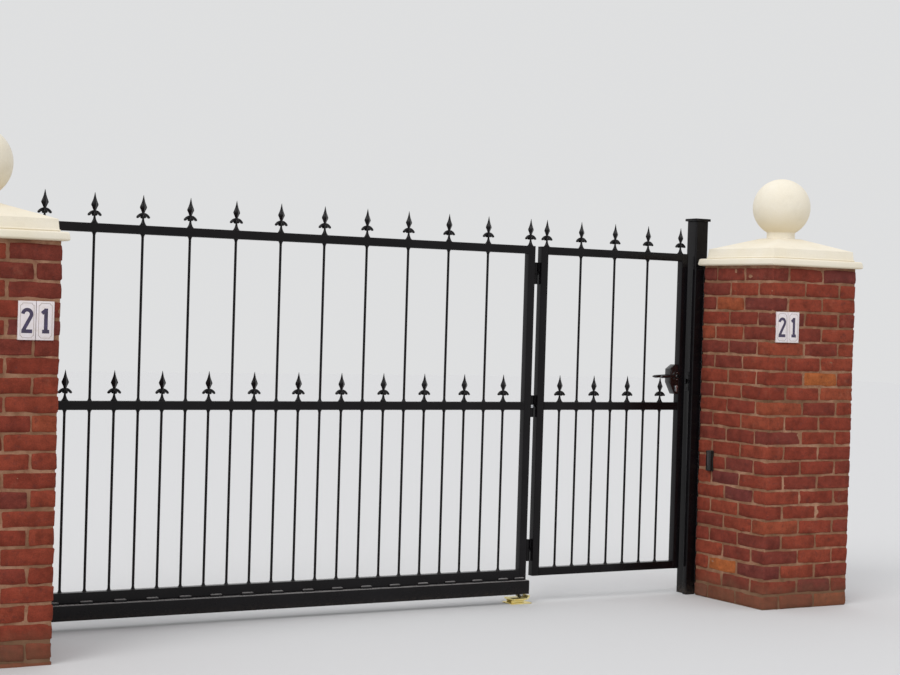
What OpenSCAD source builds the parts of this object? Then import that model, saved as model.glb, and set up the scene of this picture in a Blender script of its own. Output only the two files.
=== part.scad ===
// Wrought iron driveway gate: a cantilever sliding leaf that carries a
// pedestrian gate on its leading stile, between two brick piers.
// Frame: X runs along the gate, Y away from the road, Z up. The origin is the
// middle of the latch post's foot, and the bars stand in the plane Y = 0.

/* [Opening] */
// Clear width from the left pier to the latch post
opening_w = 3673; // [2900:1:4600]
// Travel of the sliding leaf
travel = 2650; // [2000:10:2680]
// Gap between the latch post and the pedestrian gate
latch_gap = 32; // [28:1:45]
// Gap between the two gates, for the hinges
hinge_gap = 38; // [34:1:50]

/* [Gate heights] */
// Underside of the track beam above the ground
beam_z = 48; // [44:1:90]
// Top of the middle rails above the ground
mid_rail_z = 1009; // [850:1:1030]
// Top of the top rails above the ground
gate_h = 1790; // [1550:1:2100]
// Underside of the pedestrian gate above the ground
wicket_z = 134; // [100:1:150]

/* [Frame] */
// Width of the square stiles
stile_w = 40; // [30:1:50]
// Depth of rails and stiles, front to back
frame_d = 40; // [30:1:50]
// Height of the plain rails
rail_h = 40; // [25:1:50]
// Height of the sliding leaf's bottom rail
foot_rail_h = 50; // [30:1:60]
// Radius of the long edges of rails and stiles
frame_r = 5; // [2:0.5:7]
// Distance between the centres of the pedestrian gate's stiles
wicket_w = 879; // [800:1:1100]

/* [Bars] */
// Diameter of the round bars
bar_d = 12; // [8:1:16]
// Spacing of the sliding leaf's bars
leaf_pitch = 112.8; // [90:0.1:125]
// Distance from the leading stile's centre to the first bar
leaf_first = 135; // [90:1:150]
// Spacing of the pedestrian gate's bars
wicket_pitch = 105; // [90:1:110]
// Number of bars in the pedestrian gate
wicket_bars = 7; // [5:2:7]

/* [Finials] */
// Height of a finial above its rail
finial_h = 136; // [100:1:160]
// Width across the spear head
spear_w = 34; // [24:1:40]
// Width across the tips of the leaves
leaf_span = 67; // [48:1:72]
// Width of a leaf
leaf_w = 20; // [12:1:24]
// Diameter of the bell at the foot
bell_d = 31; // [22:1:34]
// Diameter of the neck
neck_d = 10; // [8:1:12]

/* [Track beam] */
// Width of the beam
beam_w = 94; // [80:1:110]
// Height of the beam
beam_h = 70; // [64:1:90]
// Wall of the beam
beam_t = 5; // [4:0.5:6]
// Width of the slot in its underside
slot_w = 30; // [28:1:34]
// Radius of the beam's outer corners
beam_r = 8; // [6:1:10]

/* [Roller carriages] */
// Distance between the middles of the two carriages
carriage_gap = 950; // [700:10:1300]
// Length of a carriage
carriage_l = 300; // [240:10:360]
// Play between a roller and what it runs on
roller_play = 0.3; // [0.2:0.1:0.6]

/* [Latch post] */
// Width of the square latch post
post_w = 80; // [70:1:100]
// Height of the latch post without its cap
post_h = 1965; // [1800:1:2200]
// Radius of the latch post's upright edges
post_r = 8; // [4:1:12]
// Width of the cap plate
post_cap_w = 96; // [90:1:120]
// Thickness of the cap plate
post_cap_t = 14; // [8:1:20]
// Width of the closing strip in front of the post
strip_w = 60; // [40:1:70]
// Height of the closing strip
strip_h = 1712; // [1500:1:1780]
// Thickness of the closing strip
strip_t = 30; // [20:1:40]
// How far the strip stands past the post's left face
strip_lap = 20; // [5:1:24]

/* [Brick piers] */
// Width of a square pier
pier_w = 552; // [440:1:665]
// Height of the right pier's brickwork
right_pier_h = 1730; // [1500:1:1950]
// Height of the left pier's brickwork
left_pier_h = 1680; // [1500:1:1950]
// Gap between the latch post and the right pier
pier_gap = 43; // [25:1:60]
// How far the right pier stands right of the post's left face
pier_inset = 27; // [10:1:60]
// Distance from the gate's centre plane to the left pier
left_pier_gap = 173; // [120:1:220]

/* [Pier caps] */
// Overhang of the moulding under the cap
cap_over = 23; // [15:1:50]
// Height of the moulding
cap_mould_h = 37; // [30:1:50]
// Radius of the moulding's edges
cap_mould_r = 10; // [4:1:14]
// Height of the bead between moulding and band
cap_bead_h = 9; // [6:1:14]
// How far the bead stands out from the band
cap_bead_out = 4; // [2:1:8]
// Height of the cap's band above the bead
cap_band_h = 41; // [30:1:60]
// How far the band stands back from the moulding's edge
cap_band_in = 34; // [25:1:50]
// How far the band leans in on its height
cap_band_lean = 4; // [0:1:10]
// Rise of the cap's slopes
cap_rise = 61; // [40:1:90]
// Diameter of the ball's collar
collar_d = 144; // [120:1:180]
// Height of the collar
collar_h = 34; // [14:1:50]
// Diameter of the ball
ball_d = 296; // [220:1:330]

/* [Hinges] */
// Heights of the three hinges above the ground
hinge_z = [207, 932, 1600];
// Height of a hinge
hinge_h = 110; // [90:1:120]
// Diameter of the hinge barrels
barrel_d = 26; // [22:1:28]
// Diameter of the hinge pins
pin_d = 12; // [10:1:14]
// Distance of the hinge line behind the gate's centre plane
hinge_y = 10; // [8:0.5:12]
// Play between a pin and its barrel, on the radius
pin_play = 0.3; // [0.2:0.1:0.5]

/* [Lock] */
// Height of the lever above the ground
lever_z = 1148; // [1120:1:1170]
// Distance from the lever down to the key cylinder
lever_to_key = 57; // [54:1:72]
// Width of the lock case beside its stile
case_w = 59; // [50:1:76]
// Distance of the lever's hub from the lock stile's outer face
backset = 55; // [50:1:60]
// Length of a lever from its hub
lever_l = 108; // [90:1:120]
// Distance of a lever from the lock case
lever_out = 28; // [20:1:40]

/* [Number tiles and photocell] */
// Width of a number tile
tile_w = 146; // [120:1:200]
// Height of a number tile
tile_h = 154; // [120:1:180]
// Thickness of a number tile
tile_t = 8; // [5:1:12]
// Height of the right tile's centre above the ground
right_tile_z = 1421; // [1250:1:1500]
// Height of the left tile's centre above the ground
left_tile_z = 1363; // [1250:1:1500]
// Distance from a tile to the pier's edge beside the opening
tile_in = 28; // [10:1:60]
// Height of the photocell's centre above the ground
cell_z = 715; // [500:1:900]

/* [Hidden] */
$fn = 48;
eps = 0.01;

// Places along X, from the latch post to the left
post_face_x = -post_w / 2;
lock_stile_x = post_face_x - latch_gap - stile_w / 2;
hinge_stile_x = lock_stile_x - wicket_w;
lead_stile_x = hinge_stile_x - stile_w - hinge_gap;
hinge_x = hinge_stile_x - stile_w / 2 - hinge_gap / 2;
lead_edge_x = lead_stile_x + stile_w / 2;
left_pier_x = post_face_x - opening_w;
right_pier_x = post_face_x + pier_inset;
wicket_first = (wicket_w - (wicket_bars - 1) * wicket_pitch) / 2;

// Places along Z
beam_top = beam_z + beam_h;
mid_rail_under = mid_rail_z - rail_h;
top_rail_under = gate_h - rail_h;

// Steel, paint and stone colours
paint = "#211f20";
zinc = "#d9c56a";
brick = "#7d3229";
stone = "#eadfca";

function leaf_bar_x(i) = lead_stile_x - leaf_first - i * leaf_pitch;
function wicket_bar_x(j) = hinge_stile_x + wicket_first + j * wicket_pitch;
// Every second bar runs up to the top rail, and the others end under the
// middle rail
function leaf_full() = [for (i = [1 : 2 : leaf_bars - 1]) leaf_bar_x(i)];
function leaf_dogs() = [for (i = [0 : 2 : leaf_bars - 1]) leaf_bar_x(i)];
function wicket_full() = [for (j = [1 : 2 : wicket_bars - 1]) wicket_bar_x(j)];
function wicket_dogs() = [for (j = [0 : 2 : wicket_bars - 1]) wicket_bar_x(j)];

// Shared shapes

// A block from its X, Y and Z ranges
module span(x, y, z)
    translate([x[0], y[0], z[0]]) cube([x[1] - x[0], y[1] - y[0], z[1] - z[0]]);

// A rectangle that stands on the origin's level, with rounded corners
module rounded(w, h, r) {
    translate([-w / 2 + r, 0]) square([w - 2 * r, h]);
    translate([-w / 2, r]) square([w, h - 2 * r]);
    for (s = [-1, 1], z = [r, h - r]) translate([s * (w / 2 - r), z]) circle(r);
}

// A length of square tube, upright or level, on the gate's centre plane
module upright(x, z) translate([(x[0] + x[1]) / 2, -frame_d / 2, z[0]])
    linear_extrude(z[1] - z[0]) rounded(x[1] - x[0], frame_d, frame_r);
module level(x, z) translate([x[0], 0, z[0]]) rotate([90, 0, 90])
    linear_extrude(x[1] - x[0]) rounded(frame_d, z[1] - z[0], frame_r);

module bars(places, z0, z1)
    for (x = places) translate([x, 0, z0]) cylinder(d = bar_d, h = z1 - z0);

// A mitred shape: an outline that runs both ways round a square
module mitred(w) {
    intersection() {
        translate([0, w / 2, 0]) rotate([90, 0, 0]) linear_extrude(w) children();
        translate([-w / 2, 0, 0]) rotate([90, 0, 90]) linear_extrude(w) children();
    }
}

// The finial

// Half of the spear's outline, set so that its ridges face front and back
spear_foot = 0.40 * finial_h;
spear_wide = 0.55 * finial_h;
spear_shoulder = 0.71 * finial_h;
module spear_outline() {
    a = spear_w / sqrt(2) / 2;
    b = 0.42 * a;
    polygon([[-b, spear_foot], [-a, spear_wide], [-b, spear_shoulder],
        [0, finial_h], [b, spear_shoulder], [a, spear_wide], [b, spear_foot]]);
}

// One leaf from the side: it springs from the neck, arches over and droops
module leaf_outline() {
    r = leaf_span / 2;
    polygon([[0, 0.42 * finial_h], [0.40 * r, 0.40 * finial_h],
        [0.72 * r, 0.34 * finial_h], [r, 0.215 * finial_h],
        [0.62 * r, 0.26 * finial_h], [0.30 * r, 0.29 * finial_h],
        [0, 0.30 * finial_h]]);
}

// The same leaf from above: half of it, from the stalk to the point
module half_leaf_plan() {
    r = leaf_span / 2;
    polygon([[0, 0], [0, 0.28 * leaf_w], [0.42 * r, leaf_w / 2],
        [0.66 * r, 0.44 * leaf_w], [r, 0]]);
}

module leaf() intersection() {
    translate([0, leaf_w / 2, 0]) rotate([90, 0, 0]) linear_extrude(leaf_w) leaf_outline();
    linear_extrude(spear_wide) {
        half_leaf_plan();
        mirror([0, 1]) half_leaf_plan();
    }
}

module bell_outline() {
    s = spear_foot + 1;
    polygon([[0, 0], [bell_d / 2, 0], [bell_d / 2, 2], [0.34 * bell_d, 7],
        [0.22 * bell_d + 1, 15], [neck_d / 2, 27], [neck_d / 2, s], [0, s]]);
}

module finial() {
    rotate_extrude() bell_outline();
    rotate([0, 0, 45]) mitred(spear_w) spear_outline();
    for (a = [0, 90, 180, 270]) rotate([0, 0, a]) leaf();
}

module finials(places, z) for (x = places) translate([x, 0, z]) finial();

// Piers

module pier(x0, y0, h) span([x0, x0 + pier_w], [y0, y0 + pier_w], [0, h]);

// Outline of the cast cap: a moulding with round edges, a bead, a band that
// leans in, and straight slopes up to the collar
bead_top = cap_mould_h + cap_bead_h;
band_top = bead_top + cap_band_h;
module cap_outline() {
    w = pier_w / 2 + cap_over;
    b = w - cap_band_in;
    t = b - cap_band_lean;
    c = collar_d / 2;
    rounded(2 * w, cap_mould_h, cap_mould_r);
    translate([0, cap_mould_h - eps])
        rounded(2 * (b + cap_bead_out), cap_bead_h + eps, cap_bead_h / 2);
    polygon([[-b, cap_mould_h], [b, cap_mould_h], [b, bead_top], [t, band_top],
        [c, band_top + cap_rise], [-c, band_top + cap_rise], [-t, band_top], [-b, bead_top]]);
}

module pier_cap(x0, y0, z)
    translate([x0 + pier_w / 2, y0 + pier_w / 2, z])
        mitred(pier_w + 2 * cap_over) cap_outline();

cap_h = band_top + cap_rise;

// The ball rests on the collar's rim, sunk by the bedding
ball_bed = 1;
ball_lift = sqrt(pow(ball_d / 2, 2) - pow(collar_d / 2, 2)) - ball_bed;
module pier_ball(x0, y0, z)
    translate([x0 + pier_w / 2, y0 + pier_w / 2, z + cap_h]) {
        cylinder(d = collar_d, h = collar_h);
        translate([0, 0, collar_h + ball_lift]) sphere(d = ball_d, $fn = 96);
    }

left_pier_y = -left_pier_gap - pier_w;
right_pier_y = -post_w / 2 - pier_gap - pier_w;

module left_pier() color(brick) pier(left_pier_x - pier_w, left_pier_y, left_pier_h);
module left_pier_cap() color(stone) pier_cap(left_pier_x - pier_w, left_pier_y, left_pier_h);
module left_pier_ball() color(stone) pier_ball(left_pier_x - pier_w, left_pier_y, left_pier_h);
module right_pier() color(brick) pier(right_pier_x, right_pier_y, right_pier_h);
module right_pier_cap() color(stone) pier_cap(right_pier_x, right_pier_y, right_pier_h);
module right_pier_ball() color(stone) pier_ball(right_pier_x, right_pier_y, right_pier_h);

module tile(x0, y0, z)
    span([x0, x0 + tile_w], [y0 - tile_t, y0], [z - tile_h / 2, z + tile_h / 2]);

module number_tiles() color("#f4f4f2") {
    tile(left_pier_x - tile_in - tile_w, left_pier_y, left_tile_z);
    tile(right_pier_x + tile_in, right_pier_y, right_tile_z);
}

// Safety photocell on the reveal of the right pier
cell_w = 40;
cell_h = 108;
cell_t = 22;
cell_y = right_pier_y + pier_w - 107;
module photocell() color("#161616")
    span([right_pier_x - cell_t, right_pier_x], [cell_y - cell_w / 2, cell_y + cell_w / 2],
        [cell_z - cell_h / 2, cell_z + cell_h / 2]);

// Latch post

module latch_post() color(paint) difference() {
    translate([0, -post_w / 2, 0]) linear_extrude(post_h) rounded(post_w, post_w, post_r);
    bolt_pocket(post_face_x - 1, post_face_x + pocket_depth);
}

module latch_post_cap() color(paint)
    translate([-post_cap_w / 2, -post_cap_w / 2, post_h])
        cube([post_cap_w, post_cap_w, post_cap_t]);

// Box section on the front of the post that covers the gap beside the gate
module closing_strip() color(paint)
    translate([post_face_x - strip_lap + strip_w / 2, -post_w / 2 - strip_t, 0])
        linear_extrude(strip_h) rounded(strip_w, strip_t, frame_r);

// Latch bolt, and the pocket that it shoots into
bolt_z = lever_z - lever_to_key / 2;
bolt_h = 20;
bolt_t = 12;
bolt_out = 17;
bolt_slack = 3;
pocket_depth = 14;
module bolt_pocket(x0, x1)
    span([x0, x1], [-bolt_t / 2 - bolt_slack, bolt_t / 2 + bolt_slack],
        [bolt_z - bolt_h / 2 - bolt_slack, bolt_z + bolt_h / 2 + bolt_slack]);

keep_t = 5;
keep_h = 100;
keep_w = 36;
module lock_keep() color("#8f9296") difference() {
    span([post_face_x - keep_t, post_face_x], [-keep_w / 2, keep_w / 2],
        [bolt_z - keep_h / 2, bolt_z + keep_h / 2]);
    bolt_pocket(post_face_x - keep_t - 1, post_face_x + 1);
}

// Track beam

// The leading end stops short of the carriages when the leaf is wide open
plate_t = 6;
nose_l = 60;
run_clear = 8;
beam_end_x = lead_edge_x + 4;
carriage_x = [for (k = [0, 1])
    beam_end_x - plate_t - nose_l - run_clear - travel - carriage_l / 2 - k * carriage_gap];
// The leaf is barred on to the first place that clears the rear carriage
leaf_bars = ceil((leaf_bar_x(0) - carriage_x[1] + carriage_l / 2 + run_clear - stile_w / 2
    + plate_t) / leaf_pitch);
tail_stile_x = leaf_bar_x(leaf_bars);
tail_x = tail_stile_x - stile_w / 2;

module beam_section() difference() {
    rounded(beam_w, beam_h, beam_r);
    translate([0, beam_t]) rounded(beam_w - 2 * beam_t, beam_h - 2 * beam_t, beam_r - beam_t);
    translate([-slot_w / 2, -1]) square([slot_w, beam_t + 2]);
}

module along_x(x0, x1) translate([x0, 0, beam_z]) rotate([90, 0, 90])
    linear_extrude(x1 - x0) children();

module track_beam() color(paint)
    along_x(tail_x + plate_t, beam_end_x - plate_t) beam_section();

// Nose wheel: it comes to rest on the end catch as the gate closes
catch_top = 26.7;
nose_d = 36;
nose_w = 14;
nose_axle_d = 12;
cheek_t = 5;
cheek_gap = 0.5;
nose_x = beam_end_x - plate_t - nose_d / 2 - 2;
nose_z = catch_top + roller_play + nose_d / 2;
nose_head_z = nose_z + nose_d / 2 + 3;
module nose_axle(d, l) translate([nose_x, 0, nose_z]) rotate([90, 0, 0])
    cylinder(d = d, h = l, center = true);

// Plates that close the beam, the front one with the carrier of the nose wheel
module beam_ends() color(paint) {
    along_x(tail_x, tail_x + plate_t) rounded(beam_w, beam_h, beam_r);
    along_x(beam_end_x - plate_t, beam_end_x) rounded(beam_w, beam_h, beam_r);
    head_w = beam_w - 2 * beam_t - 12;
    span([beam_end_x - plate_t - nose_l, beam_end_x - plate_t], [-head_w / 2, head_w / 2],
        [nose_head_z, beam_top - beam_t]);
    cheek_y = nose_w / 2 + cheek_gap;
    for (s = [-1, 1]) translate([0, s * (cheek_y + cheek_t / 2), 0])
        span([nose_x - 14, nose_x + 14], [-cheek_t / 2, cheek_t / 2],
            [nose_z - 10, nose_head_z]);
    nose_axle(nose_axle_d, 2 * (cheek_y + cheek_t));
}

module nose_wheel() color("#b9b9bb") difference() {
    nose_axle(nose_d, nose_w);
    nose_axle(nose_axle_d + 2 * pin_play, nose_w + 2);
}

// Yellow zinc-plated catch on the ground: a base plate, two ribs and a cradle
// plate that curls up at its end
catch_l = 117;
catch_w = 90;
catch_plate = 5;
tray_t = 8;
lip_r = 23;
catch_x = lead_edge_x + 23;
lip_x = lead_edge_x + 11;
module end_catch() color(zinc) {
    x0 = catch_x - catch_l;
    cw = catch_w / 2;
    tray_z = catch_top - tray_t;
    tray_x = x0 + 11;
    rib_y = cw - 22;
    span([x0, catch_x], [-cw, cw], [0, catch_plate]);
    for (s = [-1, 1]) translate([0, s * rib_y, 0])
        span([tray_x, lip_x - lip_r], [-catch_plate / 2, catch_plate / 2],
            [catch_plate, tray_z]);
    translate([0, cw, 0]) rotate([90, 0, 0]) linear_extrude(catch_w) {
        translate([tray_x, tray_z]) square([lip_x - lip_r - tray_x, tray_t]);
        translate([lip_x - lip_r, tray_z + lip_r]) intersection() {
            difference() {
                circle(lip_r);
                circle(lip_r - tray_t);
            }
            translate([0, -lip_r]) square(lip_r);
        }
    }
}

// Roller carriages inside the beam

roller_d = beam_h - 2 * beam_t - roller_play - 1.7;
roller_w = 20;
roller_z = beam_top - beam_t - roller_play - roller_d / 2;
stem_w = 16;
axle_d = 16;
base_t = 12;
base_w = 120;
module carriage_axles(x) for (s = [-1, 1])
    translate([x + s * carriage_l / 3, 0, roller_z]) rotate([90, 0, 0]) children();

module roller_carriages() color("#6e7074") for (x = carriage_x) {
    span([x - carriage_l / 2, x + carriage_l / 2], [-base_w / 2, base_w / 2], [0, base_t]);
    span([x - carriage_l / 2 + 8, x + carriage_l / 2 - 8], [-stem_w / 2, stem_w / 2],
        [base_t, roller_z + 16]);
    carriage_axles(x) cylinder(d = axle_d, h = stem_w + 4 + 2 * roller_w, center = true);
}

module carriage_rollers() color("#2c2c2e") for (x = carriage_x)
    carriage_axles(x) for (s = [-1, 1]) difference() {
        translate([0, 0, s * (stem_w / 2 + 1 + roller_w / 2)])
            cylinder(d = roller_d, h = roller_w, center = true);
        translate([0, 0, s * (stem_w / 2 + 1 + roller_w / 2)])
            cylinder(d = axle_d + 2 * pin_play, h = roller_w + 2, center = true);
    }

// Guides behind the left pier

guide_x = left_pier_x - pier_w / 4;
guide_d = 50;
guide_l = 34;
guide_y = frame_d / 2 + roller_play + guide_d / 2;
guide_pin_d = 12;
guide_head_d = 20;
guide_head_h = 3;
guide_plate = 6;
guide_plate_z = mid_rail_z + 1;
guide_z = mid_rail_z - rail_h / 2 - guide_l / 2;
guide_post_w = 60;
guide_post_y = 76;

// Plate over a guide roller, with the roller's headed pin below it
module guide_arm(y0, y1, s) {
    span([guide_x - guide_post_w / 2, guide_x + guide_post_w / 2], [y0, y1],
        [guide_plate_z, guide_plate_z + guide_plate]);
    translate([guide_x, s * guide_y, guide_z - roller_play]) {
        cylinder(d = guide_pin_d, h = guide_plate_z - guide_z + roller_play);
        translate([0, 0, -guide_head_h]) cylinder(d = guide_head_d, h = guide_head_h);
    }
}

module guide_post() color(paint) {
    span([guide_x - guide_post_w / 2, guide_x + guide_post_w / 2],
        [guide_post_y, guide_post_y + guide_post_w], [0, guide_plate_z]);
    guide_arm(guide_y - 14, guide_post_y + guide_post_w, 1);
}

module guide_bracket() color(paint) {
    y = -left_pier_gap;
    back_t = 8;
    span([guide_x - 60, guide_x + 60], [y, y + back_t],
        [guide_plate_z - 150, guide_plate_z + 30]);
    guide_arm(y + back_t, 14 - guide_y, -1);
    translate([guide_x - 4, 0, 0]) rotate([90, 0, 90]) linear_extrude(8)
        polygon([[y + back_t, guide_plate_z], [y + back_t, guide_plate_z - 100],
            [-guide_y - guide_d / 2 - 8, guide_plate_z]]);
}

module guide_rollers() color("#d8d8d4") for (s = [-1, 1])
    translate([guide_x, s * guide_y, guide_z]) difference() {
        cylinder(d = guide_d, h = guide_l);
        translate([0, 0, -1]) cylinder(d = guide_pin_d + 2 * pin_play, h = guide_l + 2);
    }

// Sliding leaf

module leading_stile() color(paint)
    upright([lead_stile_x - stile_w / 2, lead_edge_x], [beam_top, gate_h]);

module tail_stile() color(paint)
    upright([tail_stile_x - stile_w / 2, tail_stile_x + stile_w / 2], [beam_top, gate_h]);

leaf_rail_x = [tail_stile_x + stile_w / 2, lead_stile_x - stile_w / 2];
module leaf_top_rail() color(paint) level(leaf_rail_x, [top_rail_under, gate_h]);
module leaf_mid_rail() color(paint) difference() {
    level(leaf_rail_x, [mid_rail_under, mid_rail_z]);
    for (x = leaf_full()) translate([x, 0, mid_rail_under - 1])
        cylinder(d = bar_d + 2 * bar_play, h = rail_h + 2);
}
module leaf_bottom_rail() color(paint)
    level(leaf_rail_x, [beam_top, beam_top + foot_rail_h]);

// Play of a bar in the punched middle rail, on the radius
bar_play = 0.2;

module leaf_full_bars() color(paint)
    bars(leaf_full(), beam_top + foot_rail_h, top_rail_under);
module leaf_dog_bars() color(paint)
    bars(leaf_dogs(), beam_top + foot_rail_h, mid_rail_under);
module leaf_top_finials() color(paint)
    finials(concat(leaf_full(), [lead_stile_x, tail_stile_x]), gate_h);
module leaf_dog_finials() color(paint) finials(leaf_dogs(), mid_rail_z);

// Hinges

half_h = (hinge_h - 1) / 2;
lug_t = 10;
module hinge_pins() color(paint) for (z = hinge_z) translate([hinge_x, hinge_y, z]) {
    cylinder(d = barrel_d, h = half_h);
    cylinder(d = pin_d, h = hinge_h - 4);
    translate([-hinge_gap / 2, -lug_t / 2, 0]) cube([hinge_gap / 2, lug_t, half_h]);
}

module hinge_barrels() color(paint) for (z = hinge_z)
    translate([hinge_x, hinge_y, z + half_h + roller_play]) difference() {
        union() {
            cylinder(d = barrel_d, h = half_h);
            translate([0, -lug_t / 2, 0]) cube([hinge_gap / 2, lug_t, half_h]);
        }
        translate([0, 0, -1]) cylinder(d = pin_d + 2 * pin_play, h = half_h + 2);
    }

// Pedestrian gate

module wicket_stile(x)
    upright([x - stile_w / 2, x + stile_w / 2], [wicket_z, gate_h]);
module wicket_hinge_stile() color(paint) wicket_stile(hinge_stile_x);
module wicket_lock_stile() color(paint) wicket_stile(lock_stile_x);

wicket_rail_x = [hinge_stile_x + stile_w / 2, lock_stile_x - stile_w / 2];
module wicket_top_rail() color(paint) level(wicket_rail_x, [top_rail_under, gate_h]);
module wicket_mid_rail() color(paint) difference() {
    level(wicket_rail_x, [mid_rail_under, mid_rail_z]);
    for (x = wicket_full()) translate([x, 0, mid_rail_under - 1])
        cylinder(d = bar_d + 2 * bar_play, h = rail_h + 2);
}
module wicket_bottom_rail() color(paint)
    level(wicket_rail_x, [wicket_z, wicket_z + rail_h]);
module wicket_full_bars() color(paint)
    bars(wicket_full(), wicket_z + rail_h, top_rail_under);
module wicket_dog_bars() color(paint)
    bars(wicket_dogs(), wicket_z + rail_h, mid_rail_under);
// The outer two finials keep the spacing of the bars and stand beside the stiles
module wicket_top_finials() color(paint)
    finials(concat(wicket_full(), [wicket_bar_x(-1), wicket_bar_x(wicket_bars)]), gate_h);
module wicket_dog_finials() color(paint) finials(wicket_dogs(), mid_rail_z);

// Lock

case_x1 = lock_stile_x - stile_w / 2;
case_x0 = case_x1 - case_w;
hub_x = lock_stile_x + stile_w / 2 - backset;
key_z = lever_z - lever_to_key;
case_z = [key_z - 38, lever_z + 60];
// The two corners away from the stile are clipped, the lower one along
// most of the case
clip_w = 33;
head_clip_h = 24;
foot_clip_h = 62;
rose_d = 46;
rose_t = 6;
lever_neck_d = 18;
spindle_d = 10;
// The key cylinder's profile: a round barrel over a flat-sided foot
key_d = 17;
key_foot_w = 10;
key_foot_z = 20;

// A cylinder through the lock, front to back
module cross_pin(z, d, l) translate([hub_x, 0, z]) rotate([90, 0, 0])
    cylinder(d = d, h = l, center = true);

module case_outline() polygon([[case_x1, case_z[0]], [case_x1, case_z[1]],
    [case_x0 + clip_w, case_z[1]], [case_x0, case_z[1] - head_clip_h],
    [case_x0, case_z[0] + foot_clip_h], [case_x0 + clip_w, case_z[0]]]);

module key_profile(l) translate([hub_x, l / 2, key_z]) rotate([90, 0, 0])
    linear_extrude(l) {
        circle(d = key_d);
        translate([-key_foot_w / 2, -key_foot_z]) square([key_foot_w, key_foot_z]);
        translate([0, -key_foot_z]) circle(d = key_foot_w);
    }

module lock_case() color(paint) difference() {
    union() {
        translate([0, frame_d / 2, 0]) rotate([90, 0, 0]) linear_extrude(frame_d) case_outline();
        for (s = [-1, 1]) translate([hub_x, s * (frame_d / 2 + rose_t / 2), lever_z])
            rotate([90, 0, 0]) cylinder(d = rose_d, h = rose_t, center = true);
    }
    cross_pin(lever_z, spindle_d + 2 * pin_play, 2 * frame_d);
    for (s = [-1, 1]) translate([hub_x, s * (frame_d / 2 + rose_t / 2 + 0.5), lever_z])
        rotate([90, 0, 0]) cylinder(d = lever_neck_d + 1, h = rose_t, center = true);
    key_profile(2 * frame_d);
}

module key_cylinder() color("#c9c9c4") key_profile(frame_d + 12);

forend_t = 3;
forend_w = 24;
forend_h = 180;
module lock_bolt() color("#8f9296") {
    x = lock_stile_x + stile_w / 2;
    span([x, x + forend_t], [-forend_w / 2, forend_w / 2],
        [bolt_z - forend_h / 2, bolt_z + forend_h / 2]);
    span([x + forend_t, x + forend_t + bolt_out], [-bolt_t / 2, bolt_t / 2],
        [bolt_z - bolt_h / 2, bolt_z + bolt_h / 2]);
}

// A lever from the front: a round hub and a straight arm with a round end
// that points to the hinge side
lever_arm_t = 12;
lever_arm_h = 16;
lever_hub_d = 24;
lever_neck_y = frame_d / 2 + 0.9;
module lever_outline() {
    circle(d = lever_hub_d);
    arm = lever_l - lever_arm_h / 2;
    translate([-arm, -lever_arm_h / 2]) square([arm, lever_arm_h]);
    translate([-arm, 0]) circle(d = lever_arm_h);
}

// Neck and arm of one lever: s is -1 in front and 1 behind
module lever(s) {
    arm_y = frame_d / 2 + lever_out;
    translate([hub_x, s * (lever_neck_y + arm_y) / 2, lever_z]) rotate([90, 0, 0])
        cylinder(d = lever_neck_d, h = arm_y - lever_neck_y, center = true);
    translate([hub_x, s > 0 ? arm_y + lever_arm_t : -arm_y, lever_z])
        rotate([90, 0, 0]) linear_extrude(lever_arm_t) lever_outline();
}

// The spindle is fixed in the front lever and ends against the back one
module front_lever() color("#2b2b2d") {
    lever(-1);
    cross_pin(lever_z, spindle_d, 2 * lever_neck_y);
}
module back_lever() color("#2b2b2d") lever(1);

left_pier();
left_pier_cap();
left_pier_ball();
right_pier();
right_pier_cap();
right_pier_ball();
number_tiles();
photocell();
latch_post();
latch_post_cap();
closing_strip();
lock_keep();
end_catch();
roller_carriages();
carriage_rollers();
guide_post();
guide_bracket();
guide_rollers();
track_beam();
beam_ends();
nose_wheel();
leading_stile();
tail_stile();
leaf_top_rail();
leaf_mid_rail();
leaf_bottom_rail();
leaf_full_bars();
leaf_dog_bars();
leaf_top_finials();
leaf_dog_finials();
hinge_pins();
wicket_hinge_stile();
wicket_lock_stile();
wicket_top_rail();
wicket_mid_rail();
wicket_bottom_rail();
wicket_full_bars();
wicket_dog_bars();
wicket_top_finials();
wicket_dog_finials();
hinge_barrels();
lock_case();
lock_bolt();
key_cylinder();
front_lever();
back_lever();
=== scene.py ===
import math
import random

import bmesh
import bpy
from mathutils import Matrix, Vector, noise


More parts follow.
